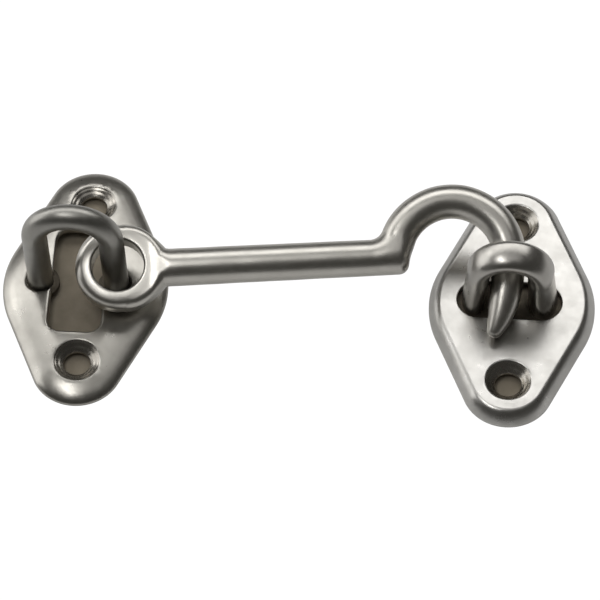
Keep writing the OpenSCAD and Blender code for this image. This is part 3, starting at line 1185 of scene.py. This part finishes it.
@dataclass
class Hook:
    """Forged hook: ring eye, flared neck, round rod, bend out of the rod, arc and turned-in tip.

    The bar forks at the eye and leaves the rod beside its rounded end, which no single profile on a
    path can follow, so the skin is drawn where a signed distance is zero. Its own frame has X along
    the rod, Y towards the top of the arc and Z along the eye's hole.
    """

    satin: SatinStainless
    place: tuple[float, float, float] = (8.328, -1.27, 11.138)
    roll: float = 21.6
    swing: float = 5.4
    rise: float = 1.408
    eye_r: float = 6.05
    hole: tuple[float, float] = (-0.1, 0.12)
    eye_band: float = 4.0
    eye_t: float = 7.4
    eye_edge_r: float = 0.45
    eye_outer_r: float = 1.7
    eye_dome: float = 0.85  # how much lower the ring's faces are at its outside
    dome_inset: float = 0.4  # flat part of those faces beside the hole
    dome_end: tuple[float, float] = (1.0, 7.0)  # where the dome starts to fade, and over how much
    neck_start: float = 7.0
    neck_end: float = 11.2
    neck_past: float = 1.4  # how far past its end the neck goes on turning round
    neck_slope: float = 0.85
    neck_soft: float = 1.0  # rounding of the flare's start
    neck_bulge: tuple[float, float, float] = (1.5, 10.8, 9.7)  # oval's middle, length and width
    neck_fillet: float = 1.0
    sink: tuple[float, float] = (0.03, 3.0)  # slope and length by which the neck dips into the rod
    edge_spare: float = 0.1  # how much less round than the rod the neck ends
    blend: tuple[float, float] = (-0.6, 3.2)  # where eye passes into rod, from the neck's end
    rod_start: tuple[float, float] = (-0.3, 4.4)  # middle and radius
    rod_finish: tuple[float, float] = (-0.05, 4.2)
    rod_l: float = 67.0
    rod_end_r: float = 2.4
    arc_x: float = 76.95
    arc_y: float = -0.8
    arc_r: float = 13.2
    arc_start_r: float = 3.9
    arc_end_r: float = 4.08
    bend_back: float = 19.3
    bend_less: float = 0.35  # how much thinner the bend starts than the rod ends
    bend_fillet: tuple[float, float, float] = (0.1, 2.4, 8.0)  # least, growth and length of growth
    tip_angle: float = 8.0
    tip_route: tuple[tuple[float, float, float, float], ...] = (
        (90.02, -2.64, 0.0, 3.9), (89.35, -7.4, 0.0, 3.95),
        (88.35, -13.6, 0.1, 3.8), (86.0, -18.4, 0.15, 1.85))
    uneven: Unevenness = Unevenness(11, 0.07, 3)
    step: float = 0.3  # size of the cells that the skin is drawn in
    cells_low: tuple[float, float, float] = (-11.06, -22.04, -4.93)
    cells_spare: float = 0.8  # room for cells past the arc
    cells_top: float = 4.9

    def eye(self, p: Array) -> Array:
        """Signed distance to the ring eye and its neck.

        A flat outline, disc and neck, is given a thickness and rounded edges. The neck's half width
        is a straight flare with a soft start, held in by an oval but never below the rod's; towards
        the rod its edges round off until it is as round. The ring's faces fall away from the hole
        by the square of the distance, and the hole has an edge of its own.

        Args:
            p: places, ... x 3, mm.

        Returns:
            Distances, mm.
        """
        x, y, z = p[..., 0], p[..., 1], p[..., 2]
        share = smooth((x - self.neck_start) / (self.neck_end + self.neck_past - self.neck_start))
        middle, rod_r = self.rod_start[0] * share, self.rod_start[1]
        ahead = self.neck_end - x
        sunk = self.sink[0] * np.clip(-ahead, 0, self.sink[1])
        flare = self.neck_slope * 0.5 * (ahead + np.sqrt(ahead**2 + self.neck_soft**2))
        side = (np.abs(y - middle) - (rod_r + flare - sunk)) / math.hypot(1, self.neck_slope)
        near, long, wide = self.neck_bulge
        oval = (length((x - near) / long, y / wide) - 1) * wide
        side = -melt(-side, -oval, self.neck_fillet)
        side = np.minimum(side, np.abs(y - middle) - rod_r + sunk)
        side = np.maximum(side, near - x)
        side = melt(side, length(x, y) - self.eye_r - self.eye_band, self.neck_fillet)
        fall = (length(x, y) - self.eye_r - self.dome_inset) / (self.eye_band - self.dome_inset)
        stay = 1 - np.clip((x - self.dome_end[0]) / self.dome_end[1], 0, 1)
        high = self.eye_t / 2 + (rod_r - self.eye_t / 2) * share - sunk
        high = high - self.eye_dome * np.clip(fall, 0, 1) ** 2 * stay
        edge = self.eye_outer_r + (rod_r - self.eye_outer_r - self.edge_spare) * share
        solid = rounded(side + edge, np.abs(z) - high + edge, edge)
        across, inner = length(x - self.hole[0], y - self.hole[1]), self.eye_edge_r
        hole = rounded(self.eye_r + inner - across, np.abs(z) - self.eye_t / 2 + inner, inner)
        near_hole = across < self.eye_r + self.eye_band / 2
        return np.where(near_hole, np.maximum(solid, hole), solid)

    def bar(self, p: Array) -> Array:
        """Signed distance to the rod, the bend out of it, the arc and the tip.

        The rod is a cylinder whose middle and radius change evenly, with a rounded end. The bend
        touches the rod's line and the arc: the middles of bend and arc are the sum of their radii
        apart, which gives the bend's radius.

        Args:
            p: places, ... x 3, mm.

        Returns:
            Distances, mm.
        """
        x, y, z = p[..., 0], p[..., 1], p[..., 2]
        along = np.clip((x - self.neck_end) / (self.rod_l - self.neck_end), 0, 1)
        (y0, r0), (y1, r1) = self.rod_start, self.rod_finish
        half, round_r = self.rod_l / 2, self.rod_end_r
        across = length(y - y0 - (y1 - y0) * along, z) - (r0 - r1) * (1 - along)
        rod = rounded(np.abs(x - half) - half + round_r, across - r1 + round_r, round_r)
        drop = -self.arc_y
        bend_r = (self.bend_back**2 + drop**2 - self.arc_r**2) / (2 * (self.arc_r - drop))
        turned = math.degrees(math.asin(self.bend_back / (self.arc_r + bend_r)))
        bend_x = self.arc_x - self.bend_back
        bend = bent_bar(p, (bend_x, bend_r), bend_r,
                        (-90, r1 - self.bend_less), (turned - 90, self.arc_end_r))
        main = bent_bar(p, (self.arc_x, self.arc_y), self.arc_r,
                        (-self.tip_angle, self.arc_start_r), (90 + turned, self.arc_end_r))
        arch = np.minimum(np.minimum(bend, main), tapered_bar(p, np.array(self.tip_route)))
        least, growth, reach = self.bend_fillet
        return melt(rod, arch, least + growth * np.clip((x - bend_x) / reach, 0, 1))

    def distance(self, p: Array) -> Array:
        """Signed distance to the hook in its own frame: eye, then bar, softly mixed between.

        Args:
            p: places, ... x 3, mm.

        Returns:
            Distances, mm, below zero inside.
        """
        lead, reach = self.blend
        share = smooth((p[..., 0] - self.neck_end - lead) / reach)
        return self.eye(p) * (1 - share) + self.bar(p) * share + self.uneven.depth(p)

    def build(self) -> bpy.types.Object:
        """Draws the skin and sets it in place.

        It is rolled about the rod, tipped up, swung and moved to the loop's leg.

        Returns:
            The finished object.
        """
        high = np.array([self.arc_x + self.arc_r + self.arc_end_r + self.cells_spare,
                         self.arc_r + self.arc_end_r, self.cells_top])
        points, triangles = surface_of(self.distance, np.array(self.cells_low), high, self.step)
        matrix = turn(2, self.swing) @ turn(1, -self.rise) @ turn(0, self.roll)
        skin = Skin()
        skin.add(points @ matrix.T + np.array(self.place), triangles)
        return skin.make("hook_satin", "hook", Body.HOOK, [self.satin.build()])


# ---- Studio ----


@dataclass(frozen=True)
class Softbox:
    """Flat lamp that faces the middle of the object, or a place beside it."""

    name: str
    place: tuple[float, float, float]
    size: tuple[float, float]
    radiance: float
    aim: tuple[float, float, float] = (0.05, 0.0, 0.0)

    def build(self) -> None:
        """Adds the lamp; its power is radiance times pi times its area."""
        light = bpy.data.lights.new(self.name, "AREA")
        light.shape = "RECTANGLE"
        light.size, light.size_y = self.size
        light.energy = self.radiance * math.pi * self.size[0] * self.size[1]
        lamp = bpy.data.objects.new(self.name, light)
        lamp.location = Vector(self.place)
        way = Vector(self.aim) - lamp.location
        lamp.rotation_euler = way.to_track_quat("-Z", "Y").to_euler()
        lamp.visible_camera = False
        bpy.context.scene.collection.objects.link(lamp)


@dataclass(frozen=True)
class Studio:
    """White table, a card under each plate, soft lamps and the camera at the photograph's angle."""

    tilt: float = 33.6
    azimuth: float = 4.85
    roll: float = -1.26
    aim: tuple[float, float, float] = (0.05004, -0.00016, 0.0)
    distance: float = 1.1192
    lens: float = 288.76
    sensor: float = 36.0
    clip: tuple[float, float] = (0.05, 20.0)
    lamps: tuple[Softbox, ...] = (
        Softbox("overhead", (-0.08, 0.29, 0.40), (1.06, 0.24), 2.2, (-0.08, 0.0, 0.0)),
        Softbox("top", (0.05, -0.02, 0.50), (0.50, 0.22), 0.55),
        Softbox("left", (-0.40, 0.10, 0.14), (0.34, 0.36), 1.7),
        Softbox("eye", (-0.09, -0.075, 0.40), (0.22, 0.10), 4.5),
    )
    surround: str = "5C5B58"
    surround_strength: float = 0.55
    table_half: float = 3.0
    table_z: float = -5e-5  # in metres, just under the plates
    card_z_mm: float = 0.02  # just over the table, inside the plates' hollow backs
    card_inset_mm: float = 3.0
    card_x_mm: tuple[float, ...] = (0.0, 99.27)
    outline: Outline = Outline()

    def build(self) -> None:
        """Adds the camera, lamps, surround, table and cards."""
        self.camera()
        for lamp in self.lamps:
            lamp.build()
        world = bpy.data.worlds.new("surround")
        world.use_nodes = True
        ground = world.node_tree.nodes["Background"]
        ground.inputs[0].default_value = linear(self.surround)
        ground.inputs[1].default_value = self.surround_strength
        bpy.context.scene.world = world
        bpy.context.scene.view_settings.view_transform = "Standard"
        h, z = self.table_half, self.table_z
        self.lay("table", [(-h, -h, z), (h, -h, z), (h, h, z), (-h, h, z)], WhitePaper().build())
        # Cards under the plates: backdrop tone and painted shade of the space beneath them, seen
        # through the holes.
        card = ShadedBackdropCard().build()
        rail, normal = self.outline.rail()
        for x in self.card_x_mm:
            flat = rail - self.card_inset_mm * normal + np.array([x, 0.0])
            self.lay(f"card_{x:.0f}", (lift(flat, self.card_z_mm) * MM).tolist(), card)

    def camera(self) -> None:
        """Adds the camera: the way back from its aim by tilt and azimuth, rolled about that way."""
        tilt, azimuth, roll = (math.radians(a) for a in (self.tilt, self.azimuth, self.roll))
        back = Vector((math.sin(azimuth) * math.sin(tilt), -math.cos(azimuth) * math.sin(tilt),
                       math.cos(tilt)))
        right = Vector((math.cos(azimuth), math.sin(azimuth), 0))
        up = back.cross(right)
        right, up = (math.cos(roll) * right + math.sin(roll) * up,
                     math.cos(roll) * up - math.sin(roll) * right)
        lens = bpy.data.cameras.new("camera")
        lens.lens, lens.sensor_width, lens.sensor_fit = self.lens, self.sensor, "HORIZONTAL"
        lens.clip_start, lens.clip_end = self.clip
        camera = bpy.data.objects.new("camera", lens)
        turned = Matrix((right, up, back)).transposed().to_4x4()
        camera.matrix_world = Matrix.Translation(Vector(self.aim) + back * self.distance) @ turned
        bpy.context.scene.collection.objects.link(camera)
        bpy.context.scene.camera = camera

    def lay(self, name: str, corners: list[Any], material: bpy.types.Material) -> None:
        """Lays a flat sheet that is part of the studio, not of the object.

        Args:
            name: its name.
            corners: its outline, m.
            material: its finish.
        """
        mesh = bpy.data.meshes.new(name)
        mesh.from_pydata(corners, [], [tuple(range(len(corners)))])
        mesh.materials.append(material)
        sheet = bpy.data.objects.new(name, mesh)
        bpy.context.scene.collection.objects.link(sheet)


def middle_x(node: str) -> float:
    """Middle of a CAD node's box along X, mm."""
    return sum(corner[0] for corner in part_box(node)) / 2 / MM


def main() -> None:
    """Builds the pieces in order and sets up the studio."""
    logging.basicConfig(level=logging.INFO, format="%(message)s")
    keeper_x, staple_x = middle_x("keeper_plate"), middle_x("keeper_staple")
    Plate(
        name="pivot_plate", x=middle_x("pivot_plate"), slot=KeyholeOpening((-1.5, 0.0)),
        shoulder=[(0.0, 0.7), (0.3, 1.75), (2.5, 3.5), (8.0, 4.0)],
        under=[(3.7, 2.4), (2.6, 2.4), (2.0, 1.6), (1.6, 0.7)],
        face_start=3.0, dome=0.6, slot_round=0.8, uneven=Unevenness(17, 0.10, 11),
        # The colours of this plate and its countersinks are darker than the keeper plate's, though
        # both are the same steel: painted shade for the dimmer light on it.
        satin=SatinStainless("shaded_satin_stainless_pivot_plate", colour="BAB7B0", shade="98958E",
                             grain_depth_mm=0.018),
        # The countersinks' colours are darker than the face's: painted shade in the recesses.
        turned=TurnedStainless("shaded_turned_stainless_pivot_holes", colour="A8A49C", shade="8F8B84"),
    ).build()
    Plate(
        name="keeper_plate", x=keeper_x, slot=LongOpening((staple_x - keeper_x, 0.0)),
        shoulder=[(0.0, 0.7), (0.9, 2.6), (1.7, 3.72), (2.7, 3.98)],
        under=[(2.7, 2.4), (2.5, 2.4), (2.3, 2.2), (1.6, 0.7)],
        face_start=2.9, dome=0.12, slot_round=0.35, uneven=Unevenness(17, 0.10, 12),
        satin=SatinStainless("satin_stainless_keeper_plate", colour="CBC9C5", shade="AEACA7",
                             grain_depth_mm=0.018),
        # The countersinks' colours are darker than the face's: painted shade in the recesses.
        turned=TurnedStainless("shaded_turned_stainless_keeper_holes", colour="B8B4AC", shade="9E9A93",
                               centre_x=keeper_x),
    ).build()
    PivotLoop(
        satin=SatinStainless("satin_stainless_wire", colour="A6A49E", shade="8C8A85",
                             roughness=0.38),
        shade_finish=ShadeDarkenedStainless("painted_shade_stainless_heads"),
    ).build()
    KeeperStaple(
        satin=SatinStainless("satin_stainless_staple", colour="BDBAB4", shade="A6A39D"),
        shade_finish=ShadeDarkenedStainless("painted_shade_stainless_foot"), x=staple_x,
    ).build()
    Hook(satin=SatinStainless("satin_stainless_hook", colour="C8C5BE", shade="B4B1AA",
                              roughness=0.33)).build()
    Studio().build()
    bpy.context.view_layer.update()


if __name__ == "__main__":
    main()
